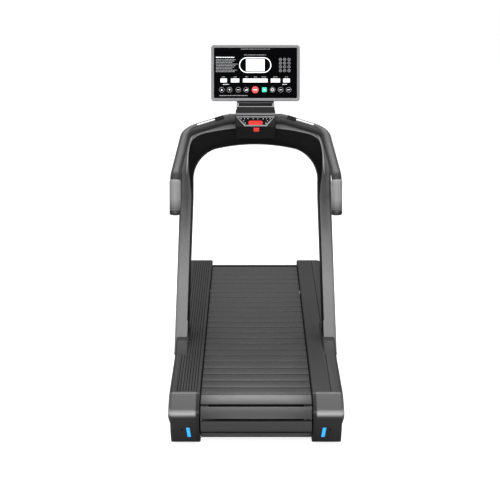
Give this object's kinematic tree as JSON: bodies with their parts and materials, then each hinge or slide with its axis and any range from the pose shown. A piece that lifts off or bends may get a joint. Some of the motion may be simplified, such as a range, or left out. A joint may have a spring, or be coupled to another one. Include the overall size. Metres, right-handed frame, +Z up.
{
  "type": "slat-belt treadmill",
  "caption": "Self-powered treadmill: endless slat belt between side covers, leaning uprights with an arch, handrails and a screen console.",
  "frame": {"origin": "on the floor, under the middle of the machine's length and width", "axes": "+Z up, +Y along the belt towards the console, +X to the walking user's right"},
  "size_m": [0.8562, 1.658, 1.6538],
  "materials": {
    "frame_paint": "satin black powder coat",
    "upright_paint": "satin charcoal powder coat",
    "cover_plastic": "fine-textured charcoal plastic",
    "cap_plastic": "smooth charcoal plastic",
    "slat_face": "dark rubber-faced aluminium",
    "carrier_rubber": "black belt rubber",
    "drum_steel": "machined",
    "wheel_rubber": "black polyurethane",
    "bolt_steel": "black oxide",
    "bearing_iron": "cast",
    "guide_plastic": "low-friction strip",
    "handrail_coat": "satin charcoal coat",
    "grip_rubber": "light grey moulded grip",
    "black_plastic": "black plastic",
    "pulse_steel": "bright sensor plate",
    "switch_gloss": "gloss black",
    "pod_plastic": "matt charcoal plastic",
    "tray_plastic": "grey satin plastic",
    "silver_trim": "satin silver",
    "film_gloss": "gloss black film",
    "display_glass": "black printed glass",
    "display_silver": "satin silver-grey",
    "stop_red": "red",
    "key_red": "red",
    "light_blue": "lit blue lens",
    "board_green": "solder mask",
    "foot_rubber": "black rubber",
    "magnet_steel": "zinc grey"
  },
  "bodies": {
    "frame": {"side_rail_left": "frame_paint", "side_rail_right": "frame_paint", "cross_members": "frame_paint", "guide_wheel_axles": "bolt_steel", "return_guides": "guide_plastic", "shaft_bearings": "bearing_iron", "side_cover_left": "cover_plastic", "side_cover_right": "cover_plastic", "rear_cap_left": "cap_plastic", "rear_cap_right": "cap_plastic", "rear_lights": "light_blue", "cap_screws": "bolt_steel", "upright_left": "upright_paint", "upright_right": "upright_paint", "yoke_arch": "upright_paint", "upright_bolts": "bolt_steel", "handrail_left": "handrail_coat", "handrail_right": "handrail_coat", "grips": "grip_rubber", "grip_caps": "black_plastic", "pulse_pads": "pulse_steel", "console_pod": "pod_plastic", "accessory_tray": "tray_plastic", "keypad_trim": "silver_trim", "keypad_film": "film_gloss", "display_neck": "pod_plastic", "display_frame": "display_silver", "display_back": "black_plastic", "display_glass": "display_glass", "circuit_board": "board_green", "brake_belt": "carrier_rubber", "brake_magnet": "magnet_steel", "speed_sensor": "black_plastic", "front_feet": "foot_rubber"},
    "top_run": {"slats_top": "slat_face", "belts_top": "carrier_rubber"},
    "bottom_run": {"slats_bottom": "slat_face", "belts_bottom": "carrier_rubber"},
    "front_drum": {"front_drum": "drum_steel", "slats_front": "slat_face", "belts_front": "carrier_rubber", "drive_pulley": "drum_steel"},
    "rear_drum": {"rear_drum": "drum_steel", "slats_rear": "slat_face", "belts_rear": "carrier_rubber"},
    "flywheel": {"flywheel": "drum_steel"},
    "transport_wheel_left": {"transport_wheel_left": "wheel_rubber"},
    "transport_wheel_right": {"transport_wheel_right": "wheel_rubber"},
    "levelling_foot_left": {"levelling_foot_left": "foot_rubber"},
    "levelling_foot_right": {"levelling_foot_right": "foot_rubber"},
    "thumb_switch_left": {"thumb_switch_left": "switch_gloss"},
    "thumb_switch_right": {"thumb_switch_right": "switch_gloss"},
    "stop_button": {"stop_button": "stop_red"},
    "safety_key": {"safety_key": "key_red"},
    "guide_wheels_1": {"guide_wheels_1": "wheel_rubber"},
    "guide_wheels_2": {"guide_wheels_2": "wheel_rubber"},
    "guide_wheels_3": {"guide_wheels_3": "wheel_rubber"},
    "guide_wheels_4": {"guide_wheels_4": "wheel_rubber"},
    "guide_wheels_5": {"guide_wheels_5": "wheel_rubber"},
    "guide_wheels_6": {"guide_wheels_6": "wheel_rubber"}
  },
  "joints": [
    {"name": "belt_travel", "type": "slide", "parent": "frame", "child": "top_run", "axis": [0, 1, 0], "range_m": [-0.03, 0.03]},
    {"name": "belt_return", "type": "slide", "parent": "frame", "child": "bottom_run", "axis": [0, 1, 0], "range_m": [-0.03, 0.03]},
    {"name": "front_drum_spin", "type": "hinge", "parent": "frame", "child": "front_drum", "pos_m": [0, 0.72, 0.131], "axis": [-1, 0, 0], "range_deg": [-18.1, 18.1]},
    {"name": "rear_drum_spin", "type": "hinge", "parent": "frame", "child": "rear_drum", "pos_m": [0, -0.72, 0.131], "axis": [-1, 0, 0], "range_deg": [-18.1, 18.1]},
    {"name": "flywheel_spin", "type": "hinge", "parent": "frame", "child": "flywheel", "pos_m": [-0.37, 0.5, 0.131], "axis": [-1, 0, 0], "range_deg": [-54.2, 54.2]},
    {"name": "guide_wheels_1_spin", "type": "hinge", "parent": "frame", "child": "guide_wheels_1", "pos_m": [0, -0.55, 0.2012], "axis": [-1, 0, 0], "range_deg": [-78.5, 78.5]},
    {"name": "guide_wheels_2_spin", "type": "hinge", "parent": "frame", "child": "guide_wheels_2", "pos_m": [0, -0.33, 0.2012], "axis": [-1, 0, 0], "range_deg": [-78.5, 78.5]},
    {"name": "guide_wheels_3_spin", "type": "hinge", "parent": "frame", "child": "guide_wheels_3", "pos_m": [0, -0.11, 0.2012], "axis": [-1, 0, 0], "range_deg": [-78.5, 78.5]},
    {"name": "guide_wheels_4_spin", "type": "hinge", "parent": "frame", "child": "guide_wheels_4", "pos_m": [0, 0.11, 0.2012], "axis": [-1, 0, 0], "range_deg": [-78.5, 78.5]},
    {"name": "guide_wheels_5_spin", "type": "hinge", "parent": "frame", "child": "guide_wheels_5", "pos_m": [0, 0.33, 0.2012], "axis": [-1, 0, 0], "range_deg": [-78.5, 78.5]},
    {"name": "guide_wheels_6_spin", "type": "hinge", "parent": "frame", "child": "guide_wheels_6", "pos_m": [0, 0.55, 0.2012], "axis": [-1, 0, 0], "range_deg": [-78.5, 78.5]},
    {"name": "transport_wheel_left_spin", "type": "hinge", "parent": "frame", "child": "transport_wheel_left", "pos_m": [-0.31, 0.788, 0.035], "axis": [1, 0, 0], "continuous": true},
    {"name": "levelling_foot_left_screw", "type": "slide", "parent": "frame", "child": "levelling_foot_left", "axis": [0, 0, -1], "range_m": [0, 0.012]},
    {"name": "thumb_switch_left_rock", "type": "hinge", "parent": "frame", "child": "thumb_switch_left", "pos_m": [-0.18846, 0.26675, 1.30562], "axis": [-0.2559, 0.7184, 0.6468], "range_deg": [-3, 3], "stiffness_Nm_per_rad": 0.2},
    {"name": "transport_wheel_right_spin", "type": "hinge", "parent": "frame", "child": "transport_wheel_right", "pos_m": [0.31, 0.788, 0.035], "axis": [1, 0, 0], "continuous": true},
    {"name": "levelling_foot_right_screw", "type": "slide", "parent": "frame", "child": "levelling_foot_right", "axis": [0, 0, -1], "range_m": [0, 0.012]},
    {"name": "thumb_switch_right_rock", "type": "hinge", "parent": "frame", "child": "thumb_switch_right", "pos_m": [0.18846, 0.26675, 1.30562], "axis": [-0.2559, -0.7184, -0.6468], "range_deg": [-3, 3], "stiffness_Nm_per_rad": 0.2},
    {"name": "stop_button_press", "type": "slide", "parent": "frame", "child": "stop_button", "axis": [0, 0.788, -0.6157], "range_m": [0, 0.003], "stiffness_N_per_m": 500},
    {"name": "safety_key_pull", "type": "slide", "parent": "frame", "child": "safety_key", "axis": [0, -1, 0], "range_m": [0, 0.012]}
  ],
  "couplings": [
    {"joint": "belt_return", "follows": "belt_travel", "ratio": -1},
    {"joint": "front_drum_spin", "follows": "belt_travel", "rad_per_m": 10.472},
    {"joint": "rear_drum_spin", "follows": "belt_travel", "rad_per_m": 10.472},
    {"joint": "flywheel_spin", "follows": "belt_travel", "rad_per_m": 31.416},
    {"joint": "guide_wheels_1_spin", "follows": "belt_travel", "rad_per_m": 45.455},
    {"joint": "guide_wheels_2_spin", "follows": "belt_travel", "rad_per_m": 45.455},
    {"joint": "guide_wheels_3_spin", "follows": "belt_travel", "rad_per_m": 45.455},
    {"joint": "guide_wheels_4_spin", "follows": "belt_travel", "rad_per_m": 45.455},
    {"joint": "guide_wheels_5_spin", "follows": "belt_travel", "rad_per_m": 45.455},
    {"joint": "guide_wheels_6_spin", "follows": "belt_travel", "rad_per_m": 45.455}
  ]
}
